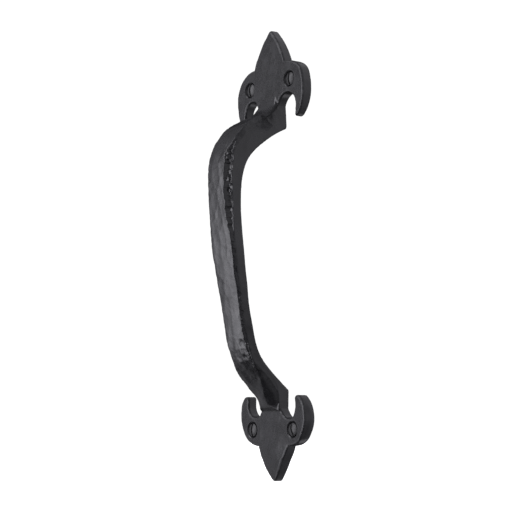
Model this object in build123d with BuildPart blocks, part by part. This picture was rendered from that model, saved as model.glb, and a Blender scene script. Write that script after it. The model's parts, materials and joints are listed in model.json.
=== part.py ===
"""Cast-iron bow pull handle with two fleur-de-lys end plates, and its four wood screws.

Frame: +Z runs up the handle and -Y is its front, so the door's face is the plane y = 0.
The origin is the centre of the four screw positions on the handle's back face.
"""

from build123d import *
import os

os.makedirs("parts", exist_ok=True)

# Screw pattern: half the distance between the screws across and along the handle.
screw_x = 17.0
screw_z = 87.8

# End plates: their thickness, and as (y, z) where it tapers towards the points and the top horns.
plate_thickness = 5.5
plate_front = [
    (-4.8, 115.7),
    (-plate_thickness, 102.0),
    (-plate_thickness, 80.5),
    (-5.0, 74.5),
    (-3.8, 67.0),
    (-5.1, -67.0),
    (-5.1, -100.0),
    (-4.4, -114.2),
]

# Each plate outline, as (x, height above the origin) for the half with x > 0.
top_plate = {
    "tip": 115.7,
    "tip_round": 0.8,
    "point_side": (6.6, 108.8),
    "notch": (12.9, 97.3),
    "shoulder": (23.7, 93.5),
    "widest": (28.4, 82.6),
    "horn_side": (27.5, 75.2),
    "horn_outer": (24.2, 68.2),
    "horn_inner": (21.3, 68.2),
    "gap_outer": (22.1, 74.0),
    "gap_crown": (20.5, 78.7),
    "gap_top": (15.2, 81.4),
    "gap_shoulder": (9.1, 79.2),
    "gap_inner": (6.3, 74.0),
    "foot": (6.2, 64.6),
    "horn_round": 1.0,
}
bottom_plate = {
    "tip": 114.2,
    "tip_round": 2.6,
    "point_side": (6.7, 105.9),
    "notch": (11.9, 95.6),
    "shoulder": (23.3, 91.1),
    "widest": (27.3, 81.8),
    "horn_side": (26.4, 76.2),
    "horn_outer": (22.8, 71.3),
    "horn_inner": (20.2, 71.1),
    "gap_outer": (20.7, 76.0),
    "gap_crown": (19.0, 79.8),
    "gap_top": (13.9, 81.6),
    "gap_shoulder": (9.2, 80.2),
    "gap_inner": (6.7, 76.5),
    "foot": (6.5, 68.4),
    "horn_round": 1.1,
}

# Bow: its side view as (y, z), down the side that the hand holds and up the side facing the door.
bow_front = [
    (-5.5, 81.2),
    (-9.2, 73.0),
    (-18.9, 68.4),
    (-31.0, 59.6),
    (-37.0, 48.0),
    (-38.4, 33.0),
    (-37.3, 10.4),
    (-32.4, -18.4),
    (-28.8, -37.0),
    (-23.9, -55.4),
    (-13.7, -68.2),
    (-8.8, -75.8),
    (-5.1, -84.0),
]
bow_back = [
    (0.0, -68.4),
    (-11.6, -58.6),
    (-18.0, -51.2),
    (-22.2, -37.4),
    (-25.0, -19.3),
    (-28.2, 10.1),
    (-29.2, 27.0),
    (-27.9, 38.2),
    (-23.6, 47.8),
    (-17.0, 54.2),
    (-9.0, 59.9),
    (0.0, 64.6),
]

# Half the bow's width, as (half width, z).
bow_half_width = [
    (6.2, 82.0),
    (7.7, 58.0),
    (8.0, 20.0),
    (8.0, -20.0),
    (7.8, -52.0),
    (6.6, -84.0),
]
bow_bevel = 1.1
bow_reach = 60.0

# Countersunk screw holes: each has a short straight rim before its cone.
hole_radius = 2.1
rim_radius = 3.95
rim_depth = 0.3
countersink_angle = 90

# Slotted raised-countersunk wood screws, number 6 by half an inch.
screw_length = 12.7
head_sink = 0.8
head_raise = 1.3
head_radius = 3.3
head_edge = 0.12
dome_radius = (head_radius**2 + head_raise**2) / (2 * head_raise)
shank_radius = 1.45
thread_radius = 1.75
taper_length = 3.6
point_radius = 0.15
slot_width = 1.0
slot_depth = 1.3

# Each screw's place and the turn of its slot from upright, in degrees.
screws = {
    "screw_top_left": (-screw_x, screw_z, 3),
    "screw_top_right": (screw_x, screw_z, -2),
    "screw_bottom_left": (-screw_x, -screw_z, 1),
    "screw_bottom_right": (screw_x, -screw_z, -14),
}


def half_outline(plate, way):
    """Draw the x > 0 half of a plate's outline; way is 1 for the top plate and -1 for the bottom one."""

    def at(name):
        x, height = plate[name]
        return (x, way * height)

    tip = (0, way * plate["tip"])
    foot = at("foot")
    ThreePointArc(tip, at("point_side"), at("notch"))
    ThreePointArc(at("notch"), at("shoulder"), at("widest"))
    ThreePointArc(at("widest"), at("horn_side"), at("horn_outer"))
    Line(at("horn_outer"), at("horn_inner"))
    Line(at("horn_inner"), at("gap_outer"))
    ThreePointArc(at("gap_outer"), at("gap_crown"), at("gap_top"))
    ThreePointArc(at("gap_top"), at("gap_shoulder"), at("gap_inner"))
    Line(at("gap_inner"), foot)
    Line(foot, (0, foot[1]))


def round_corners(outline, plate, way):
    """Round the tip, the ends of the horns and the sides of the gaps of a plate's outline."""
    corners = [(0, plate["tip"], plate["tip_round"])]
    for name in ("horn_outer", "horn_inner", "gap_outer", "gap_inner"):
        x, height = plate[name]
        corners += [(x, height, plate["horn_round"]), (-x, height, plate["horn_round"])]
    for x, height, radius in corners:
        fillet(outline.vertices().sort_by_distance((x, way * height))[0], radius)


with BuildPart() as bow:
    with BuildSketch(Plane.YZ):
        with BuildLine():
            Spline(*bow_front)
            Line(bow_front[-1], (0, bow_front[-1][1]))
            Line((0, bow_front[-1][1]), bow_back[0])
            Spline(*bow_back)
            Line(bow_back[-1], (0, bow_front[0][1]))
            Line((0, bow_front[0][1]), bow_front[0])
        make_face()
    extrude(amount=screw_x, both=True)
    with BuildSketch(Plane.XZ):
        with BuildLine():
            Spline(*bow_half_width)
            Line(bow_half_width[-1], (0, bow_half_width[-1][1]))
            Line(bow_half_width[0], (0, bow_half_width[0][1]))
            mirror(about=Plane.YZ)
        make_face()
    extrude(amount=bow_reach, mode=Mode.INTERSECT)
    front_edges = bow.edges().filter_by(lambda edge: edge.length > screw_z).sort_by(Axis.Y)[:2]
    chamfer(front_edges, bow_bevel)


with BuildPart() as handle:
    for plate, way in ((top_plate, 1), (bottom_plate, -1)):
        with BuildSketch(Plane.XZ) as outline:
            with BuildLine():
                half_outline(plate, way)
                mirror(about=Plane.YZ)
            make_face()
            round_corners(outline, plate, way)
        extrude(amount=plate_thickness)
    with BuildSketch(Plane.YZ):
        with BuildLine():
            Polyline((0, plate_front[0][1]), *plate_front, (0, plate_front[-1][1]), close=True)
        make_face()
    extrude(amount=2 * screw_x, both=True, mode=Mode.INTERSECT)
    add(bow.part)
    with Locations(Plane.XZ.offset(plate_thickness)):
        with GridLocations(2 * screw_x, 2 * screw_z, 2, 2):
            Hole(rim_radius, depth=rim_depth)
    with Locations(Plane.XZ.offset(plate_thickness - rim_depth)):
        with GridLocations(2 * screw_x, 2 * screw_z, 2, 2):
            CounterSinkHole(hole_radius, rim_radius, counter_sink_angle=countersink_angle)
handle.part.label = "handle_casting"
export_step(handle.part, "parts/handle_casting.step")

head_top = head_sink - plate_thickness
dome_top = head_top - head_raise
head_neck = head_top + head_edge + head_radius - shank_radius
screw_tip = head_top + screw_length

for name, (x, z, slot_turn) in screws.items():
    with BuildPart() as screw:
        with BuildSketch(Plane((x, 0, z), x_dir=(1, 0, 0), z_dir=(0, 0, 1))):
            with BuildLine():
                RadiusArc((0, dome_top), (head_radius, head_top), -dome_radius)
                Polyline(
                    (head_radius, head_top),
                    (head_radius, head_top + head_edge),
                    (shank_radius, head_neck),
                    (shank_radius, 0),
                    (thread_radius, 0),
                    (thread_radius, screw_tip - taper_length),
                    (point_radius, screw_tip),
                    (0, screw_tip),
                    (0, dome_top),
                )
            make_face()
        revolve(axis=Axis((x, 0, z), (0, 1, 0)))
        slot_floor = Plane((x, dome_top + slot_depth, z), x_dir=(1, 0, 0), z_dir=(0, -1, 0))
        with BuildSketch(slot_floor):
            Rectangle(slot_width, 3 * head_radius, rotation=slot_turn)
        extrude(amount=slot_depth, mode=Mode.SUBTRACT)
    screw.part.label = name
    export_step(screw.part, f"parts/{name}.step")
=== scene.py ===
"""Looks for a cast-iron bow pull handle: a beaten black casting, four wood screws and a white studio.

Everything is in the part's own frame, in metres. Meshes are made in millimetres and scaled at the end.
"""

import json
import math
from collections import namedtuple

import bmesh
import bpy
import numpy as np
from mathutils import Matrix, Vector
from mathutils.bvhtree import BVHTree


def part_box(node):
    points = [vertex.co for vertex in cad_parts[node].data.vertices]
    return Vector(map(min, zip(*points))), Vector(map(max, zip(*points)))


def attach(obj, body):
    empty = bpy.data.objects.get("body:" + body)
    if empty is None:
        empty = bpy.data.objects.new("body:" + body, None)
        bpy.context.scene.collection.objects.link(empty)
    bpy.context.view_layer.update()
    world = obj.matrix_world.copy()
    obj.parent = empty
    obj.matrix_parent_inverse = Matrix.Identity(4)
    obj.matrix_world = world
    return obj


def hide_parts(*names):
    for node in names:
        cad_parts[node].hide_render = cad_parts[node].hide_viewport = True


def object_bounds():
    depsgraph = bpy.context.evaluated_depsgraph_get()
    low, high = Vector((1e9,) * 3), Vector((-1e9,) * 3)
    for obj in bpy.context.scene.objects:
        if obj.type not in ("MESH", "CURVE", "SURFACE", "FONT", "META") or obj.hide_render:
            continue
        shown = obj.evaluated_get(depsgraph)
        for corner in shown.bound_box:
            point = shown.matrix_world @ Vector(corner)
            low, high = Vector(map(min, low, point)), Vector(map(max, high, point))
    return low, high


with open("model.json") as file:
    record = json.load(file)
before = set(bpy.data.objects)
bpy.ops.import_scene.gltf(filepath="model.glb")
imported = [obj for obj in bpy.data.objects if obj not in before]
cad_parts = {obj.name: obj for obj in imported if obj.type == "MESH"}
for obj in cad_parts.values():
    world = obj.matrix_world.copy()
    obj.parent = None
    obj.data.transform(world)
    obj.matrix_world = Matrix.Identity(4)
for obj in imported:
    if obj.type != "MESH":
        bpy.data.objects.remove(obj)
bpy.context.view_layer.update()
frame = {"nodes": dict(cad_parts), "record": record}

MM = 0.001
WAYS = [(side, way) for side in (-1, 1) for way in (-1, 1)]

pattern = next(m for m in frame["record"]["mounts"] if m["name"] == "screw_pattern")
SCREW_X = pattern["dims"]["spacing_x_mm"] / 2
SCREW_Z = pattern["dims"]["spacing_y_mm"] / 2
THREAD_RADIUS = pattern["dims"]["stud_r_mm"]


# ---------------------------------------------------------------- noise

# Sizes are in millimetres, and every use has its own seed.
HASH = (374761393, 668265263, 2147483647, 1274126177)
HASH_AGAIN = 2246822519


def hashed(cell, seed):
    """A repeatable number from 0 to 1 for each integer cell."""
    n = cell[..., 0] * HASH[0] + cell[..., 1] * HASH[1] + cell[..., 2] * HASH[2] + seed * HASH[3]
    n = (n ^ (n >> 13)) * HASH[3] & 0xFFFFFFFF
    n = (n ^ (n >> 15)) * HASH_AGAIN & 0xFFFFFFFF
    return ((n ^ (n >> 16)) & 0xFFFF) / 65535.0


def smooth_noise(points, size, seed):
    """Smooth noise from -1 to 1 whose bumps are about size across."""
    scaled = points / size
    base = np.floor(scaled).astype(np.int64)
    t = scaled - base
    t = t * t * (3 - 2 * t)
    total = np.zeros(len(points))
    for corner in np.ndindex(2, 2, 2):
        c = np.array(corner)
        weight = np.prod(np.where(c, t, 1 - t), axis=1)
        total += weight * hashed(base + c, seed)
    return 2 * total - 1


def dents(points, size, seed, uneven):
    """0 in the middle of each dent to about 1 on the ridges between them; uneven varies their depths."""
    scaled = points / size
    base = np.floor(scaled).astype(np.int64)
    best = np.full(len(points), 9.0)
    for neighbour in np.ndindex(3, 3, 3):
        cell = base + np.array(neighbour) - 1
        centre = cell + np.stack([hashed(cell, seed + k) for k in range(3)], axis=1)
        gap = ((scaled - centre) ** 2).sum(1) + uneven * hashed(cell, seed + 5)
        best = np.minimum(best, gap)
    return best


def ramp(value, start, end):
    """0 before start, 1 after end, and smooth between them."""
    t = np.clip((value - start) / (end - start), 0, 1)
    return t * t * (3 - 2 * t)


# ---------------------------------------------------------------- mesh helpers


def new_object(name, mesh):
    piece = bpy.data.objects.new(name, mesh)
    bpy.context.scene.collection.objects.link(piece)
    return piece


def mesh_from(bm, name):
    """A new mesh made from a bmesh, which is freed."""
    mesh = bpy.data.meshes.new(name)
    bm.to_mesh(mesh)
    bm.free()
    return mesh


def baked(piece):
    """Replace a piece's mesh by what its modifiers make of it."""
    bpy.context.view_layer.update()
    graph = bpy.context.evaluated_depsgraph_get()
    mesh = bpy.data.meshes.new_from_object(piece.evaluated_get(graph))
    old = piece.data
    piece.modifiers.clear()
    piece.data = mesh
    bpy.data.meshes.remove(old)
    mesh.name = piece.name


def points_of(mesh):
    co = np.empty(len(mesh.vertices) * 3)
    mesh.vertices.foreach_get("co", co)
    return co.reshape(-1, 3)


def normals_of(mesh):
    n = np.empty(len(mesh.vertices) * 3)
    mesh.vertices.foreach_get("normal", n)
    return n.reshape(-1, 3)


def set_points(mesh, co):
    mesh.vertices.foreach_set("co", co.ravel())
    mesh.update()


def edge_ends(mesh):
    ends = np.empty(len(mesh.edges) * 2, dtype=np.int32)
    mesh.edges.foreach_get("vertices", ends)
    return ends.reshape(-1, 2).T


def relax(co, ends, weight, rounds):
    """Pull each point towards the middle of its neighbours, rounds times, by its weight."""
    a, b = ends
    count = len(co)
    degree = np.bincount(a, minlength=count) + np.bincount(b, minlength=count)
    for _ in range(rounds):
        middle = np.stack(
            [
                (np.bincount(a, co[b, k], count) + np.bincount(b, co[a, k], count)) / degree
                for k in range(3)
            ],
            axis=1,
        )
        co = co + weight[:, None] * (middle - co)
    return co


def closeness(co, middle, reach, fade):
    """1 near the middle and 0 from its reach on; fade is the outer share of the reach that lies between."""
    return ramp(1 - np.linalg.norm((co - np.array(middle)) / np.array(reach), axis=1), 0, fade)


def lathe(profile, around, segments):
    """A closed solid turned about Y at (x, z), from (radius, y) pairs that start and end on the axis."""
    x, z = around
    bm = bmesh.new()
    turns = [math.tau * k / segments for k in range(segments)]
    rings = []
    for radius, y in profile[1:-1]:
        rings.append([bm.verts.new((x + radius * math.cos(t), y, z + radius * math.sin(t))) for t in turns])
    first = bm.verts.new((x, profile[0][1], z))
    last = bm.verts.new((x, profile[-1][1], z))
    for k in range(segments):
        after = (k + 1) % segments
        bm.faces.new((first, rings[0][k], rings[0][after]))
        for low, high in zip(rings, rings[1:]):
            bm.faces.new((low[k], high[k], high[after], low[after]))
        bm.faces.new((rings[-1][k], last, rings[-1][after]))
    bmesh.ops.recalc_face_normals(bm, faces=bm.faces)
    return mesh_from(bm, "lathe")


def cut(piece, cutter_mesh, solver):
    cutter = new_object("cutter", cutter_mesh)
    modifier = piece.modifiers.new("cut", "BOOLEAN")
    modifier.operation = "DIFFERENCE"
    modifier.solver = solver
    modifier.object = cutter
    baked(piece)
    bpy.data.objects.remove(cutter)
    bpy.data.meshes.remove(cutter_mesh)


def finish_piece(piece, node, material, sharp_degrees):
    """Scale a piece to metres, shade it and tie it to the CAD node that it stands for."""
    piece.data.transform(Matrix.Scale(MM, 4))
    piece.data.shade_smooth()
    piece.data.set_sharp_from_angle(angle=math.radians(sharp_degrees))
    piece.data.materials.clear()
    piece.data.materials.append(material)
    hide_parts(node)
    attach(piece, "root")


def direction(azimuth, elevation):
    """The way that degrees of azimuth, from the front (-Y) towards +X, and of elevation point."""
    a, e = math.radians(azimuth), math.radians(elevation)
    return (math.sin(a) * math.cos(e), -math.cos(a) * math.cos(e), math.sin(e))


# ---------------------------------------------------------------- casting: its even shape

# The front of the top and bottom plates, and the plugs that fill their screw holes.
PLATE_FRONT = {1: -5.5, -1: -5.1}
PLUG_RADIUS = 4.6
ROUND_SEGMENTS = 64
WELD = 0.001

# The mesh's cell, and how often its points are relaxed halfway before they are laid on the CAD surface.
VOXEL = 0.5
SETTLING = 6
HALFWAY = 0.5
# Evening softens the edges: each round relaxes once, then pushes back a little further against shrinking.
EVENING = 4
EVENING_BACK = 1.04
# Softening still draws the outline in, so every wall but the back first moves out by this.
GROW = 0.27
# The back stays in the plane y = 0: points behind these don't grow and aren't pulled along y.
GROWN_FRONT = -0.2
PULLED_FRONT = -0.3

# Where the casting departs from its even shape: (x, y, z), reach in x, y and z, and the move.
THROUGH = 60
PULL_FADE = 0.85
PULLS = [
    # Top plate: its right horn and lobe, its left horn, and the left side of the root.
    ((28, 0, 66), (16, THROUGH, 14), (-1.1, 0, 0)),
    ((24, 0, 66), (9, THROUGH, 10), (-0.6, 0, 0)),
    ((25, 0, 66), (6, THROUGH, 6), (0, 0, 1.6)),
    ((27, 0, 94), (11, THROUGH, 8), (0.8, 0, 0.2)),
    ((-26, 0, 70), (8, THROUGH, 9), (-0.8, 0, 0)),
    ((-9, -8, 75), (7, 8, 9), (-4.2, 0, 0)),
    # Bottom plate: its right horn, its left horn, the right gap, and the right lobe down to the notch.
    ((20, 0, -74), (7, THROUGH, 10), (-1.1, 0, 0)),
    ((28, 0, -73), (8, THROUGH, 8), (0.2, 0, 0.2)),
    ((-25, 0, -72), (8, THROUGH, 7), (-0.7, 0, 0)),
    ((14, 0, -82), (8, THROUGH, 5), (0, 0, -0.9)),
    ((30, 0, -87), (16, THROUGH, 15), (1.3, 0, -0.1)),
    ((23, 0, -95), (9, THROUGH, 7), (0.7, 0, -0.4)),
    ((14, 0, -97), (10, THROUGH, 10), (1.2, 0, 0.1)),
    # The top point, and the front of the bottom plate.
    ((0, 0, 118), (7, THROUGH, 8), (0, 0, 0.3)),
    ((3, -5, -101), (15, 3, 13), (-0.3, -0.6, 0)),
    ((26, -5, -84), (9, 3, 16), (-1.0, -0.4, 0)),
    # The grip's two sides, and the height of its upper bend.
    ((-8, -36, 47), (6, THROUGH, 20), (-0.4, 0, 0)),
    ((8, -30, 40), (6, THROUGH, 34), (0.3, 0, 0)),
    ((8, -24, -27), (6, THROUGH, 12), (-0.5, 0, 0)),
    ((8, -15, -52), (6, THROUGH, 16), (0.5, 0, 0)),
    ((-8, -16, -63), (6, THROUGH, 9), (-0.7, 0, 0)),
    ((-8, -24, -52), (6, THROUGH, 10), (0.7, 0, 0)),
    ((-8, -38, 18), (6, THROUGH, 14), (0.5, 0, 0)),
    ((-5, -22, 67), (10, 8, 6), (0, 0.1, -0.3)),
    # The left side of the lower foot, the bottom point and the bottom left lobe.
    ((-6, -10, -72.5), (5, THROUGH, 5), (1.4, 0, 0)),
    ((-7, -5, -79.5), (5, THROUGH, 3.5), (-1.3, 0, 0)),
    ((-3, 0, -112), (5, THROUGH, 8), (0.5, 0, 0)),
    ((-27, 0, -86), (8, THROUGH, 12), (0.4, 0, 0)),
]


def plugged_casting():
    """The CAD casting in millimetres with its screw holes plugged."""
    bm = bmesh.new()
    bm.from_mesh(frame["nodes"]["handle_casting"].data)
    bmesh.ops.scale(bm, vec=(1 / MM, 1 / MM, 1 / MM), verts=bm.verts)
    bmesh.ops.remove_doubles(bm, verts=bm.verts, dist=WELD)
    for side, way in WAYS:
        thick = -PLATE_FRONT[way]
        place = Matrix.Translation((side * SCREW_X, -thick / 2, way * SCREW_Z))
        bmesh.ops.create_cone(
            bm,
            cap_ends=True,
            segments=ROUND_SEGMENTS,
            radius1=PLUG_RADIUS,
            radius2=PLUG_RADIUS,
            depth=thick,
            matrix=place @ Matrix.Rotation(math.pi / 2, 4, "X"),
        )
    return mesh_from(bm, "casting")


def onto(tree, co):
    """Each point's nearest place on the surface in the tree."""
    return np.array([tree.find_nearest(Vector(p))[0] for p in co])


def pulled(co):
    """The points moved by PULLS, with the back kept flat."""
    free = np.where(co[:, 1:2] < PULLED_FRONT, 1.0, np.array([1.0, 0.0, 1.0]))
    for middle, reach, move in PULLS:
        near = closeness(co, middle, reach, PULL_FADE)
        co = co + near[:, None] * np.array(move) * free
    return co


def even_casting():
    """The casting as one even mesh with soft edges and an outline finished by the listed pulls."""
    casting = new_object("bow_handle", plugged_casting())
    surface = BVHTree.FromPolygons(
        [v.co for v in casting.data.vertices], [p.vertices[:] for p in casting.data.polygons]
    )
    remesh = casting.modifiers.new("remesh", "REMESH")
    remesh.mode = "VOXEL"
    remesh.voxel_size = VOXEL
    baked(casting)
    ends = edge_ends(casting.data)
    co = points_of(casting.data)
    weight = np.full(len(co), HALFWAY)
    co = onto(surface, relax(co, ends, weight, SETTLING))
    set_points(casting.data, co)
    co = co + GROW * normals_of(casting.data) * (co[:, 1] < GROWN_FRONT)[:, None]
    for _ in range(EVENING):
        co = relax(co, ends, weight, 1)
        co = relax(co, ends, -EVENING_BACK * weight, 1)
    set_points(casting.data, pulled(co))
    return casting


# ---------------------------------------------------------------- casting: places on the bow

# The bow's outer curve runs through points near its middle plane, clear of the plates, that turn little
# sideways and face away from a point behind the arch. It is smoothed over some of them and then thinned.
ARCH_MIDDLE = np.array([0.0, 20.0, 0.0])
CURVE_HALF_WIDTH = 1.0
CURVE_TURN = 0.3
CURVE_FRONT = -6.5
CURVE_SMOOTHING = 9
CURVE_STEP = 4
AT_ONCE = 20000
# Between these distances from the door the bow rises out of the plates.
BOW_RISE = (6.0, 9.0)
# Up the bow (heights, values): its half width and thickness. Then the width of the CAD's bevel.
BOW_HALF_WIDTH = ([-84, -52, -20, 20, 58, 82], [6.6, 7.8, 8.0, 8.0, 7.7, 6.2])
BOW_THICKNESS = ([-70, -50, -37, -18, 10, 30, 60], [7.2, 6.4, 6.6, 7.6, 9.0, 9.2, 8.0])
BOW_BEVEL = 1.1
# Faces on the right half of the bow's front are halved, because the step and its chips are there.
FINE_DEPTH = 5.5
FINE_RIGHT_OF = 1.5
FINE_FRONT = -9.0

# For each point: its height along the bow's outer curve, its depth below that curve, the curve's inward
# normal there, how far the point belongs to the bow (0 to 1), and the bow's half width there.
Places = namedtuple("Places", "along depth inward on_bow half_width")


def bow_places(mesh):
    """The Places of a mesh's points."""
    co, normal = points_of(mesh), normals_of(mesh)
    outer = (
        (np.abs(co[:, 0]) < CURVE_HALF_WIDTH)
        & (np.abs(normal[:, 0]) < CURVE_TURN)
        & (((co - ARCH_MIDDLE) * normal).sum(1) > 0)
        & (co[:, 1] < CURVE_FRONT)
    )
    curve = co[outer][:, 1:]
    curve = curve[np.argsort(np.arctan2(curve[:, 1], ARCH_MIDDLE[1] - curve[:, 0]))]
    kernel = np.ones(CURVE_SMOOTHING) / CURVE_SMOOTHING
    curve = np.stack([np.convolve(curve[:, k], kernel, "valid") for k in range(2)], axis=1)[::CURVE_STEP]
    depth = np.empty(len(co))
    nearest = np.empty(len(co), dtype=int)
    for start in range(0, len(co), AT_ONCE):
        part = slice(start, start + AT_ONCE)
        gap = np.hypot(co[part, 1, None] - curve[None, :, 0], co[part, 2, None] - curve[None, :, 1])
        nearest[part] = gap.argmin(1)
        depth[part] = gap.min(1)
    tangent = np.gradient(curve, axis=0)
    tangent /= np.linalg.norm(tangent, axis=1)[:, None]
    inward = np.stack([np.zeros(len(curve)), tangent[:, 1], -tangent[:, 0]], axis=1)
    along = curve[nearest, 1]
    on_bow = ramp(-co[:, 1], *BOW_RISE)
    return Places(along, depth, inward[nearest], on_bow, np.interp(along, *BOW_HALF_WIDTH))


def refine(mesh):
    """Halve the faces on the right half of the bow's front."""
    co = points_of(mesh)
    fine = (bow_places(mesh).depth < FINE_DEPTH) & (co[:, 0] > FINE_RIGHT_OF) & (co[:, 1] < FINE_FRONT)
    bm = bmesh.new()
    bm.from_mesh(mesh)
    faces = [f for f in bm.faces if all(fine[v.index] for v in f.verts)]
    edges = list({e for f in faces for e in f.edges})
    bmesh.ops.subdivide_edges(bm, edges=edges, cuts=1, use_grid_fill=True)
    bm.to_mesh(mesh)
    bm.free()


# ---------------------------------------------------------------- casting: relief of the bow

# The front leans: at the right arris it lies this deep, as a straight and a curved part of the slope across.
# LEAN_ADDED is added to them between these heights, going down.
LEAN = (1.5, 0.3)
LEAN_ADDED = (-0.05, 1.0)
LEAN_HEIGHTS = (22.0, 0.0)
# The broken step along the right arris, up the bow: its width and depth.
STEP_WIDTH = (
    [-62, -56, -50, -44, -36, -28, -20, -12, -5, 3, 10, 16, 22, 28, 42, 52, 57, 61],
    [0.0, 1.4, 1.6, 1.4, 1.2, 1.0, 1.0, 1.3, 0.9, 1.1, 1.8, 2.4, 3.0, 3.6, 3.7, 3.4, 1.2, 0.0],
)
STEP_DEPTH = (
    [-62, -56, -50, -40, -26, -12, 3, 16, 28, 42, 54, 62, 68],
    [1.0, 2.8, 3.2, 3.5, 3.8, 4.0, 4.2, 4.2, 4.2, 4.0, 3.1, 2.4, 1.0],
)
# How much deeper the step's floor is for each mm away from the bow's side, and how wide its wall's slope is.
STEP_TILT = ([-60, -20, 2, 14, 26, 60], [-1.0, -1.0, -0.9, -0.2, 0.12, 0.12])
WALL_RUN = ([-60, -10, 6, 20, 60], [0.5, 0.5, 0.8, 1.8, 2.1])
# How deep the wall is broken, and the widths of the step between which that begins.
WALL_BREAKS = 2.6
WALL_BREAKS_WIDTHS = (1.0, 2.6)
# The thin lip left along the floor's outer edge: its height, its distance from the side, its width, and the
# heights on the bow between which it grows.
LIP_HEIGHT = 0.5
LIP_PLACE, LIP_WIDTH = 0.4, 0.35
LIP_HEIGHTS = (22, 36)
# How far the front of the bow's right side is drawn in.
SIDE_SLANT = (
    [-62, -56, -50, -40, -32, -26, -20, -12, -5, 4],
    [0.3, 1.0, 1.9, 2.6, 2.4, 1.8, 1.4, 1.3, 0.5, 0.0],
)
# The relief fades over RELIEF_FADE before RELIEF_END, up and down, and stays clear of the inner side.
RELIEF_END, RELIEF_FADE = 74, 14.0
RELIEF_CLEAR = 0.2
# Where the bow turns into its feet its right arris is a soft chamfer: its width up the bow, its drop for each
# mm across, how softly it begins, and the width from which it is fully there.
LEG_CHAMFER = (
    [-80, -76, -72, -66, -62, -58, -54, 48, 54, 59, 65, 74],
    [2.4, 4.2, 4.4, 3.9, 3.1, 1.8, 0.0, 0.0, 2.2, 3.4, 2.2, 0.0],
)
CHAMFER_SLOPE = 0.9
CHAMFER_SOFTNESS = 0.8
CHAMFER_FULL = 1.2
# The dents in the left arris: their depth, how far they reach across the front and down the side, and the
# share of a diagonal move that goes each way.
LEFT_DENTS = 0.35
LEFT_REACH = (1.6, 1.8)
DIAGONAL = 0.7
# Where the lower foot dives into the plate: its half width, its heights, and (heights, front faces).
FOOT_HALF_WIDTH = 9
FOOT_BOTTOM, FOOT_TOP = -86.0, -74.0
FOOT_FRONT = ([-84.0, -78.7, -77.0, -75.5, -74.0], [-5.4, -5.4, -8.0, -9.3, -14.0])


def bow_lean(co, bow):
    """How deep the leaning front is cut, from the left arris to the right one."""
    across = np.clip((co[:, 0] / bow.half_width + 1) / 2, -0.1, 1.1)
    low = ramp(-bow.along, -LEAN_HEIGHTS[0], -LEAN_HEIGHTS[1])
    even, growing = (start + added * low for start, added in zip(LEAN, LEAN_ADDED))
    return even * across + growing * across**2


def broken_step(co, bow, lean, facets):
    """How far each point has fallen to the step's floor (0 to 1), and the step's cut past the lean."""
    squeezed = co * np.array([0.5, 0.5, 1.0])
    jag = 0.6 * (dents(squeezed, 2.8, 31, 0.8) - 0.7) + 0.6 * smooth_noise(squeezed, 1.7, 8)
    jag += 0.3 * smooth_noise(squeezed, 0.7, 9)
    width = np.interp(bow.along, *STEP_WIDTH)
    side = bow.half_width + GROW
    wall = side - width + (1.0 + 0.6 * ramp(-bow.along, -12, 0)) * jag
    fallen = ramp(co[:, 0] - wall, 0, np.interp(bow.along, *WALL_RUN)) * ramp(width, 0.1, 0.6)
    to_side = np.maximum(side - co[:, 0], 0)
    floor_depth = np.interp(bow.along, *STEP_DEPTH) + np.interp(bow.along, *STEP_TILT) * to_side
    floor_depth -= (0.2 + 0.5 * ramp(bow.along, 6, 25)) * facets
    lip = LIP_HEIGHT * np.exp(-(((to_side - LIP_PLACE) / LIP_WIDTH) ** 2))
    lip = lip * ramp(bow.along, *LIP_HEIGHTS) * np.clip(0.7 + jag, 0, 1)
    step = np.maximum(floor_depth - lip - lean, 0) - np.minimum(bow.depth, BOW_BEVEL)
    broken = dents(co * np.array([0.8, 0.8, 1.0]), 1.8, 21, 0.9) - 0.7 + 0.5 * smooth_noise(co, 1.5, 22)
    breaks = WALL_BREAKS * fallen * (1 - fallen) * broken * ramp(width, *WALL_BREAKS_WIDTHS)
    return fallen, fallen * step - breaks


def leg_chamfer(co, bow):
    """How deep the right arris is chamfered where the bow turns into its feet."""
    width = np.interp(bow.along, *LEG_CHAMFER)
    past = co[:, 0] - (bow.half_width + GROW - width)
    return CHAMFER_SLOPE * (past + np.sqrt(past**2 + CHAMFER_SOFTNESS)) / 2 * ramp(width, 0, CHAMFER_FULL)


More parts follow.
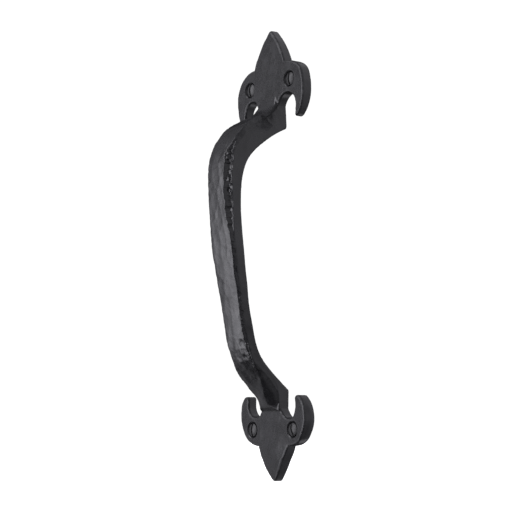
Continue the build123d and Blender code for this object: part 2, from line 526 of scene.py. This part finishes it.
def carved(co, bow):
    """The points with the bow's relief cut into them, and how far each has fallen to the step's floor."""
    facets = dents(co * np.array([1.0, 1.0, 0.8]), 1.9, 47, 1.0) - 0.8
    lean = bow_lean(co, bow)
    fallen, step = broken_step(co, bow, lean, facets)
    thickness = np.interp(bow.along, *BOW_THICKNESS)
    clear = thickness - RELIEF_CLEAR
    sunk = np.clip((clear - bow.depth) / (clear - BOW_BEVEL), 0, 1)
    relief = (lean + step) * (bow.on_bow * ramp(RELIEF_END - np.abs(bow.along), 0.0, RELIEF_FADE))
    relief = np.maximum(relief, leg_chamfer(co, bow) * bow.on_bow)
    co = co + (relief * sunk)[:, None] * bow.inward
    below = np.maximum(bow.depth + relief * sunk - lean, 0) / (thickness - lean)
    slant = np.interp(bow.along, *SIDE_SLANT) * bow.on_bow * np.clip(1 - below, 0, 1)
    co[:, 0] -= slant * np.clip(co[:, 0] / bow.half_width, 0, 1.05) ** 2
    # The left arris is only dented.
    left = np.exp(-(((bow.half_width + co[:, 0]) / LEFT_REACH[0]) ** 2))
    left = left * np.exp(-((bow.depth / LEFT_REACH[1]) ** 2)) * bow.on_bow
    dented = (LEFT_DENTS * np.clip(facets + 0.4, 0, 1) * left)[:, None]
    co = co + dented * (bow.inward + np.array([1.0, 0, 0])) * DIAGONAL
    # The lower foot ends in the plate.
    on_foot = (np.abs(co[:, 0]) < FOOT_HALF_WIDTH) & (co[:, 2] < FOOT_TOP) & (co[:, 2] > FOOT_BOTTOM)
    foot_front = np.interp(co[:, 2], *FOOT_FRONT)
    co[:, 1] = np.where(on_foot, np.maximum(co[:, 1], foot_front), co[:, 1])
    return co, fallen


# ---------------------------------------------------------------- casting: beaten surface

# How far the surface is pushed out, by its long folds, the facets at the right edge, the bends' facets, its
# slow swell and fine unevenness, and the plates' shallow hammer marks and fine unevenness.
FOLDS, EDGE_FACETS, BEND_FACETS = 0.16, 0.1, 0.26
SWELL, FINE = 0.08, 0.018
PLATE_MARKS, PLATE_FINE = 0.035, 0.02
# Where each bend's facets begin and end, as distances down and up from the origin; the upper bend's share.
LOWER_BEND = ((41, 50), (62, 72))
UPPER_BEND = ((48, 58), (68, 76))
UPPER_BEND_SHARE = 0.6
# The beating fades out here towards the back.
BEATEN_FADE = (-0.8, -0.1)
# Rough patches of the skin where the feet meet the plates: their middle, reach and depth.
ROUGH_SPOTS = [((3, -9, 76), 11, 0.34), ((2, -8, -76), 9, 0.08), ((6, -14, 68), 9, 0.24)]
ROUGH_FADE = 0.8
# Flat chips that catch the light: their middle, reach, softness, and the azimuth and elevation they face.
CHIPS = [
    ((5.2, -35.4, 35.5), 1.8, 0.35, 20, 5),
    ((6.2, -34.3, 39.1), 1.4, 0.35, 22, 0),
    ((5.5, -34.4, 30.0), 1.6, 0.35, 20, 5),
    ((4.2, -35.6, 26.5), 1.3, 0.35, 18, 0),
    ((2.8, -25.5, -45.6), 3.0, 0.75, 24, -8),
    ((2.9, -24.9, -49.4), 2.4, 0.75, 26, -10),
    ((3.2, -23.5, -52.8), 2.3, 0.75, 26, -12),
    ((-0.5, -24.15, -53.6), 2.6, 0.75, 16, -14),
]


def within(value, begins, ends):
    """1 between two soft limits, each a (start, end) pair."""
    return ramp(value, *begins) * (1 - ramp(value, *ends))


def beaten(co, normal, bow, fallen):
    """The points pushed into long folds down the front, facets at its edge and bends, and rough roots."""
    facing = ramp(-normal[:, 1], 0.1, 0.7)
    front = ramp(-bow.depth, -3.0, -0.5) * bow.on_bow * (1 - fallen)
    lengthways = co * np.array([1.0, 1.0, 0.4])
    folds = dents(lengthways, 3.2, 11, 0.4) - 0.5
    small = dents(co, 2.4, 71, 0.8) - 0.6
    large = dents(co, 4.2, 72, 0.6) - 0.5
    marks = dents(lengthways, 4.0, 12, 0.3) - 0.4
    near_edge = ramp(co[:, 0], 0.5, bow.half_width - 1.0)
    bends = within(-bow.along, *LOWER_BEND) + UPPER_BEND_SHARE * within(bow.along, *UPPER_BEND)
    push = (FOLDS * folds + EDGE_FACETS * near_edge * small) * front
    push += BEND_FACETS * bends * (large + 0.3 * small) * bow.on_bow * ramp(-bow.depth, -6.0, -1.0)
    push += SWELL * smooth_noise(co, 9.0, 3) + FINE * smooth_noise(co, 1.7, 4)
    push += (PLATE_MARKS * marks + PLATE_FINE * smooth_noise(co, 2.6, 13)) * facing * (1 - bow.on_bow)
    for middle, reach, depth in ROUGH_SPOTS:
        near = closeness(co, middle, reach, ROUGH_FADE)
        push += depth * near * (dents(co, 5.0, 83, 0.8) - 0.6 + 0.2 * smooth_noise(co, 2.2, 84))
    push *= 1 - ramp(co[:, 1], *BEATEN_FADE)
    return co + push[:, None] * normal


def chipped(co):
    """The points near each chip moved onto its flat face."""
    for middle, reach, softness, azimuth, elevation in CHIPS:
        facing = np.array(direction(azimuth, elevation))
        above = (co - np.array(middle)) @ facing
        co = co - (above * closeness(co, middle, reach, softness))[:, None] * facing
    return co


# ---------------------------------------------------------------- casting: screw holes

HOLE_RADIUS = 2.1
RIM_RADIUS = 3.95
RIM_DEPTH = 0.3
CUT_PAST = 1
# The countersink's mouth, from in front of the plate: (radius beyond the rim's, depth below the front).
MOUTH = [(0.6, -2), (0.5, -0.15), (0.28, 0.02), (0.1, 0.14), (0.0, 0.35)]


def countersink(side, way):
    """A cutter for one countersunk hole."""
    y = PLATE_FRONT[way]
    cone_end = y + RIM_DEPTH + RIM_RADIUS - HOLE_RADIUS
    profile = [(0, y + MOUTH[0][1])]
    profile += [(RIM_RADIUS + out, y + down) for out, down in MOUTH]
    profile += [(HOLE_RADIUS, cone_end), (HOLE_RADIUS, CUT_PAST), (0, CUT_PAST)]
    return lathe(profile, (side * SCREW_X, way * SCREW_Z), ROUND_SEGMENTS)


casting = even_casting()
refine(casting.data)
bow = bow_places(casting.data)
co, fallen = carved(points_of(casting.data), bow)
set_points(casting.data, co)
co = beaten(co, normals_of(casting.data), bow, fallen)
set_points(casting.data, chipped(co))
for side, way in WAYS:
    cut(casting, countersink(side, way), "MANIFOLD")


# ---------------------------------------------------------------- screws

# Head: a dome that stops short of a softened edge, over a 90 degree cone.
HEAD_RADIUS = 3.3
HEAD_TOP = -5.0
DOME_RAISE = 1.0
DOME_EDGE = 0.132
DOME_RINGS = 12
HEAD_EDGE = 0.12
EDGE_SOFT = 0.06
CORNER_SOFT = 0.04
SHANK_RADIUS = 1.45
NECK_ROUND = 0.1
# Thread: its core and crest taper towards the point, each by its own power of the distance to it.
CORE_RADIUS = 1.2
CORE_TIP = 0.08
CORE_POWER = 0.8
CREST_TIP = 0.12
CREST_POWER = 0.7
CREST_FULLER = 1.15
THREAD_PITCH = 1.4
THREAD_START = -0.4
THREAD_RUN_IN = 1.5
THREAD_RING = 0.09
RIDGE_HALF = 0.3
RIDGE_POWER = 1.3
TAPER = 3.6
TIP_FLAT = 0.05
TIP_ROUND = 0.02
SCREW_SEGMENTS = 56
# Slot: its size, its cutter's height, and the bevel of edges that turn by more than the corner, in degrees.
SLOT_WIDTH = 1.0
SLOT_DEPTH = 1.3
SLOT_CUT = 4
SLOT_BEVEL = 0.1
SLOT_CORNER = 48
# How much shorter than the rest a screw is, where its point would stand out past the plate.
HIDDEN_TIP = {"screw_bottom_right": 0.9}
# How far each slot is turned from upright, in degrees.
SLOT_TURNS = {
    "screw_top_left": 3,
    "screw_top_right": -2,
    "screw_bottom_left": 1,
    "screw_bottom_right": -14,
}


def screw_profile(tip):
    """The (radius, y) outline of a raised countersunk screw before its thread is cut."""
    dome = (HEAD_RADIUS**2 + DOME_RAISE**2) / (2 * DOME_RAISE)
    crown = HEAD_TOP - DOME_RAISE
    cone_end = HEAD_TOP + HEAD_EDGE + HEAD_RADIUS - SHANK_RADIUS
    length = tip - THREAD_START
    rings = int(length / THREAD_RING)
    radii = [(HEAD_RADIUS - DOME_EDGE) * k / DOME_RINGS for k in range(1, DOME_RINGS + 1)]
    return (
        [(0, crown)]
        + [(r, crown + dome - math.sqrt(dome**2 - r**2)) for r in radii]
        + [
            (HEAD_RADIUS - CORNER_SOFT, HEAD_TOP - CORNER_SOFT),
            (HEAD_RADIUS, HEAD_TOP + EDGE_SOFT),
            (HEAD_RADIUS - EDGE_SOFT, HEAD_TOP + HEAD_EDGE + EDGE_SOFT),
            (SHANK_RADIUS + NECK_ROUND, cone_end - NECK_ROUND),
            (SHANK_RADIUS, cone_end + NECK_ROUND),
        ]
        + [(SHANK_RADIUS, THREAD_START + length * k / rings) for k in range(rings)]
        + [(TIP_FLAT, tip - TIP_ROUND), (0, tip)]
    )


def screw_mesh(x, z, tip):
    """A raised countersunk wood screw along Y at (x, z), with its thread and without its slot."""
    mesh = lathe(screw_profile(tip), (x, z), SCREW_SEGMENTS)
    co = points_of(mesh)
    dx, dz = co[:, 0] - x, co[:, 2] - z
    radius = np.hypot(dx, dz)
    turn_at = np.arctan2(dz, dx) / math.tau
    threaded = (co[:, 1] > THREAD_START - 1e-6) & (radius > 0.1)
    to_tip = np.clip((tip - co[:, 1]) / TAPER, 0, 1)
    core = CORE_TIP + (CORE_RADIUS - CORE_TIP) * to_tip**CORE_POWER
    crest = CREST_TIP + (THREAD_RADIUS - CREST_TIP) * np.clip(to_tip * CREST_FULLER, 0, 1) ** CREST_POWER
    phase = np.mod((co[:, 1] - THREAD_START) / THREAD_PITCH - turn_at, 1)
    ridge = np.clip(1 - np.abs(phase - 0.5) / RIDGE_HALF, 0, 1) ** RIDGE_POWER
    run_in = ramp(co[:, 1], THREAD_START, THREAD_START + THREAD_RUN_IN)
    shank = SHANK_RADIUS * (1 - run_in) + core * run_in
    wanted = shank + (crest - shank) * ridge * run_in
    scale = np.where(threaded, wanted / np.maximum(radius, 1e-9), 1)
    co[:, 0] = x + dx * scale
    co[:, 2] = z + dz * scale
    set_points(mesh, co)
    return mesh


def slot_cutter(x, z, slot_turn):
    bm = bmesh.new()
    floor = HEAD_TOP - DOME_RAISE + SLOT_DEPTH
    place = (
        Matrix.Translation((x, floor - SLOT_CUT / 2, z))
        @ Matrix.Rotation(math.radians(slot_turn), 4, "Y")
        @ Matrix.Diagonal((SLOT_WIDTH, SLOT_CUT, 4 * HEAD_RADIUS, 1))
    )
    bmesh.ops.create_cube(bm, size=1, matrix=place)
    return mesh_from(bm, "slot")


def soften_slot(piece):
    """Round the slot's edges a little."""
    bm = bmesh.new()
    bm.from_mesh(piece.data)
    sharp = [
        e
        for e in bm.edges
        if e.is_manifold
        and e.calc_face_angle(0) > math.radians(SLOT_CORNER)
        and max(v.co.y for v in e.verts) < HEAD_TOP + 0.02
    ]
    bmesh.ops.bevel(
        bm, geom=sharp, offset=SLOT_BEVEL, offset_type="OFFSET", segments=2, profile=0.5, affect="EDGES"
    )
    bm.to_mesh(piece.data)
    bm.free()


# ---------------------------------------------------------------- materials

# The base colour varies between these shares of itself, and worn edges show this one, which is also a painted
# highlight on the arrises.
DARKER, LIGHTER = 0.75, 1.3
WORN_AND_GLINT_COLOUR = (0.07, 0.068, 0.066)
# How sharp an edge is where its paint begins and ends to wear and to take the painted edge highlight, and
# where it begins and ends to be duller.
WORN_AND_GLINT_EDGES = (0.53, 0.64)
DULL_EDGES = (0.505, 0.56)
DULLER = 0.36
# Edges that turn by more than this, in degrees, are shaded sharp.
CASTING_SHARP = 34
SCREW_SHARP = 40


def iron(name, base, grain, wear_and_glint, rough):
    """Black iron: colour variation, cast grain, uneven gloss, and edges worn a little brighter and duller;
    the brighter edge colour is partly a painted highlight.
    """
    material = bpy.data.materials.new(name)
    material.use_nodes = True
    tree = material.node_tree
    nodes, links = tree.nodes, tree.links
    nodes.clear()
    out = nodes.new("ShaderNodeOutputMaterial")
    shader = nodes.new("ShaderNodeBsdfPrincipled")
    links.new(shader.outputs["BSDF"], out.inputs["Surface"])
    where = nodes.new("ShaderNodeTexCoord").outputs["Object"]

    def noise_node(scale, detail, roughness):
        node = nodes.new("ShaderNodeTexNoise")
        node.inputs["Scale"].default_value = scale
        node.inputs["Detail"].default_value = detail
        node.inputs["Roughness"].default_value = roughness
        links.new(where, node.inputs["Vector"])
        return node.outputs["Fac"]

    def mapped(value, low, high, start, end):
        node = nodes.new("ShaderNodeMapRange")
        node.inputs["From Min"].default_value = low
        node.inputs["From Max"].default_value = high
        node.inputs["To Min"].default_value = start
        node.inputs["To Max"].default_value = end
        links.new(value, node.inputs["Value"])
        return node.outputs["Result"]

    def mixed(factor, one, two):
        node = nodes.new("ShaderNodeMix")
        node.data_type = "RGBA"
        links.new(factor, node.inputs["Factor"])
        for socket, value in ((node.inputs["A"], one), (node.inputs["B"], two)):
            if isinstance(value, tuple):
                socket.default_value = (*value, 1)
            else:
                links.new(value, socket)
        return node.outputs["Result"]

    def bump(height, strength, distance, before=None):
        node = nodes.new("ShaderNodeBump")
        node.inputs["Strength"].default_value = strength
        node.inputs["Distance"].default_value = distance
        links.new(height, node.inputs["Height"])
        if before is not None:
            links.new(before, node.inputs["Normal"])
        return node.outputs["Normal"]

    dark = tuple(c * DARKER for c in base)
    light = tuple(c * LIGHTER for c in base)
    colour = mixed(mapped(noise_node(90, 4, 0.6), 0.35, 0.65, 0, 1), dark, light)
    edges = nodes.new("ShaderNodeNewGeometry").outputs["Pointiness"]
    # Sharp edges are painted lighter: partly wear, partly a painted highlight standing in for glints on the
    # arrises.
    colour = mixed(mapped(edges, *WORN_AND_GLINT_EDGES, 0, wear_and_glint), colour, WORN_AND_GLINT_COLOUR)
    links.new(colour, shader.inputs["Base Color"])
    gloss = mapped(noise_node(160, 4, 0.65), 0.3, 0.7, rough - 0.06, rough + 0.07)
    duller = nodes.new("ShaderNodeMath")
    duller.operation = "ADD"
    links.new(gloss, duller.inputs[0])
    links.new(mapped(edges, *DULL_EDGES, 0, DULLER), duller.inputs[1])
    links.new(duller.outputs["Value"], shader.inputs["Roughness"])
    swell = bump(noise_node(260, 2, 0.5), 0.35 * grain, 0.0004)
    skin = bump(noise_node(900, 3, 0.6), 0.15 * grain, 0.00012, swell)
    links.new(skin, shader.inputs["Normal"])
    shader.inputs["Specular IOR Level"].default_value = 0.5
    return material


cast_iron = iron("cast_iron_black", (0.014, 0.014, 0.0158), grain=1.0, wear_and_glint=0.08, rough=0.27)
screw_black = iron("screw_black", (0.022, 0.022, 0.023), grain=0.35, wear_and_glint=0.3, rough=0.44)

finish_piece(casting, "handle_casting", cast_iron, CASTING_SHARP)

for node, slot_turn in SLOT_TURNS.items():
    low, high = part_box(node)
    x = (low.x + high.x) / 2 / MM
    z = (low.z + high.z) / 2 / MM
    tip = high.y / MM - HIDDEN_TIP.get(node, 0)
    screw = new_object("wood_" + node, screw_mesh(x, z, tip))
    cut(screw, slot_cutter(x, z, slot_turn), "EXACT")
    soften_slot(screw)
    finish_piece(screw, node, screw_black, SCREW_SHARP)


# ---------------------------------------------------------------- studio

# The camera sees white paper. The object sees a soft studio: a grey room, one tall key light in front on the
# left, pale walls to the right and behind, and a dark front. Angles are in degrees.
SEEN_WHITE = 1.05
FLOOR_HALF = 6.0
FLOOR_GAP = 0.0005
# Up the room, from straight down (0) to straight up (1): its level, which is never below the darkest.
ROOM = [(0.0, 0.10), (0.25, 0.12), (0.4, 0.3), (0.5, 0.47), (0.6, 0.45), (0.75, 0.25), (1.0, 0.2)]
DARKEST = 0.04
FILL_COLOUR = (0.985, 0.975, 1.04, 1)
# The key light: its level, the azimuths at which it is full and gone on each side, its middle's elevation,
# and how far above and below that it is full and gone.
KEY_LEVEL = 4.4
KEY_LEFT, KEY_RIGHT = (-22.5, -51.5), (-12, 5)
KEY_ELEVATION, KEY_HEIGHT = 18, (27, 56)
# Azimuth, elevation, angle inside which the level is full, angle at which it has gone, level.
PATCHES = [
    (105, 5, 35, 75, 0.31),
    (165, 52, 20, 55, 0.5),
    (-153, -54, 5, 22, 1.0),
    (140, -45, 15, 45, 0.22),
    (-68, -28, 10, 30, 0.45),
    (14, -10, 18, 34, -0.3),
    (-125, 2, 24, 54, -0.34),
    (-64, 40, 8, 24, 0.12),
]
DEGREES = 180 / math.pi


def white_paper():
    paper = bpy.data.materials.new("white_paper")
    paper.use_nodes = True
    inputs = paper.node_tree.nodes["Principled BSDF"].inputs
    inputs["Base Color"].default_value = (0.8, 0.8, 0.8, 1)
    inputs["Roughness"].default_value = 0.9
    inputs["Specular IOR Level"].default_value = 0.0
    inputs["Emission Color"].default_value = (1, 1, 1, 1)
    inputs["Emission Strength"].default_value = SEEN_WHITE
    return paper


def paper_floor():
    """A white floor just below the handle that the handle doesn't reflect."""
    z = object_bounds()[0].z - FLOOR_GAP
    mesh = bpy.data.meshes.new("floor")
    corners = [(-1, -1), (1, -1), (1, 1), (-1, 1)]
    mesh.from_pydata([(x * FLOOR_HALF, y * FLOOR_HALF, z) for x, y in corners], [], [(0, 1, 2, 3)])
    mesh.materials.append(white_paper())
    floor = new_object("floor", mesh)
    floor.visible_diffuse = False
    floor.visible_glossy = False


def studio_world():
    """Light that depends on direction alone, and white paper for the camera."""
    world = bpy.data.worlds.new("studio")
    world.use_nodes = True
    nodes, links = world.node_tree.nodes, world.node_tree.links
    nodes.clear()

    def calculate(operation, one, two=0.0):
        """A Math node of two values, each a number or a node's output."""
        node = nodes.new("ShaderNodeMath")
        node.operation = operation
        for socket, value in zip(node.inputs, (one, two)):
            if isinstance(value, (int, float)):
                socket.default_value = value
            else:
                links.new(value, socket)
        return node.outputs["Value"]

    def window(value, inside, outside, level):
        """The level up to the inside value, 0 from the outside value on, and smooth between them."""
        node = nodes.new("ShaderNodeMapRange")
        node.interpolation_type = "SMOOTHSTEP"
        for name, number in (("From Min", inside), ("From Max", outside), ("To Min", level), ("To Max", 0)):
            node.inputs[name].default_value = number
        links.new(value, node.inputs["Value"])
        return node.outputs["Result"]

    def background(colour, strength):
        node = nodes.new("ShaderNodeBackground")
        node.inputs["Color"].default_value = colour
        if isinstance(strength, float):
            node.inputs["Strength"].default_value = strength
        else:
            links.new(strength, node.inputs["Strength"])
        return node.outputs["Background"]

    where = nodes.new("ShaderNodeTexCoord").outputs["Generated"]
    split = nodes.new("ShaderNodeSeparateXYZ")
    links.new(where, split.inputs["Vector"])
    to_front = calculate("MULTIPLY", split.outputs["Y"], -1.0)
    azimuth = calculate("MULTIPLY", calculate("ARCTAN2", split.outputs["X"], to_front), DEGREES)
    elevation = calculate("MULTIPLY", calculate("ARCSINE", split.outputs["Z"]), DEGREES)

    key_across = calculate("MULTIPLY", window(azimuth, *KEY_LEFT, 1.0), window(azimuth, *KEY_RIGHT, 1.0))
    from_middle = calculate("ABSOLUTE", calculate("SUBTRACT", elevation, KEY_ELEVATION))
    key = calculate("MULTIPLY", key_across, window(from_middle, *KEY_HEIGHT, 1.0))
    light = calculate("MULTIPLY", key, KEY_LEVEL)

    for patch_azimuth, patch_elevation, inside, outside, level in PATCHES:
        dot = nodes.new("ShaderNodeVectorMath")
        dot.operation = "DOT_PRODUCT"
        links.new(where, dot.inputs[0])
        dot.inputs[1].default_value = direction(patch_azimuth, patch_elevation)
        away = calculate("MULTIPLY", calculate("ARCCOSINE", dot.outputs["Value"]), DEGREES)
        light = calculate("ADD", light, window(away, inside, outside, level))

    height = nodes.new("ShaderNodeMapRange")
    height.inputs["From Min"].default_value = -1
    links.new(split.outputs["Z"], height.inputs["Value"])
    room = nodes.new("ShaderNodeValToRGB")
    while len(room.color_ramp.elements) < len(ROOM):
        room.color_ramp.elements.new(0.5)
    for element, (position, level) in zip(room.color_ramp.elements, ROOM):
        element.position = position
        element.color = (level, level, level, 1)
    links.new(height.outputs["Result"], room.inputs["Fac"])
    light = calculate("MAXIMUM", calculate("ADD", light, room.outputs["Color"]), DARKEST)

    choose = nodes.new("ShaderNodeMixShader")
    links.new(nodes.new("ShaderNodeLightPath").outputs["Is Camera Ray"], choose.inputs["Fac"])
    links.new(background(FILL_COLOUR, light), choose.inputs[1])
    links.new(background((1, 1, 1, 1), SEEN_WHITE), choose.inputs[2])
    out = nodes.new("ShaderNodeOutputWorld")
    links.new(choose.outputs["Shader"], out.inputs["Surface"])
    return world


paper_floor()
bpy.context.scene.world = studio_world()
bpy.context.scene.view_settings.view_transform = "Standard"


# ---------------------------------------------------------------- camera

# Where the camera stands about the pivot, in degrees and metres, and how far its aim is moved off the pivot.
# The lens and sensor are in millimetres.
AZIMUTH, ELEVATION, ROLL = 54.0, -6.59, 0.427
DISTANCE = 0.80817
PIVOT = Vector((0, 0, 0.001075))
PAN_RIGHT, PAN_UP = 0.011052, 0.001964
LENS, SENSOR = 111.33, 36.0
CLIP_START, CLIP_END = 0.01, 50


def camera_place():
    """The camera's matrix: it looks along -Z of its own axes, with Y up."""
    turned, roll = math.radians(AZIMUTH), math.radians(ROLL)
    back = Vector(direction(AZIMUTH, ELEVATION))
    level = Vector((math.cos(turned), math.sin(turned), 0))
    upward = back.cross(level)
    right = level * math.cos(roll) - upward * math.sin(roll)
    up = level * math.sin(roll) + upward * math.cos(roll)
    place = PIVOT + back * DISTANCE
    aim = PIVOT - right * PAN_RIGHT - up * PAN_UP
    axis_back = (place - aim).normalized()
    axis_right = up.cross(axis_back).normalized()
    axis_up = axis_back.cross(axis_right)
    axes = Matrix((axis_right, axis_up, axis_back)).transposed()
    return Matrix.Translation(place) @ axes.to_4x4()


camera = new_object("camera", bpy.data.cameras.new("camera"))
camera.data.lens = LENS
camera.data.sensor_width = SENSOR
camera.data.clip_start = CLIP_START
camera.data.clip_end = CLIP_END
camera.matrix_world = camera_place()
bpy.context.scene.camera = camera
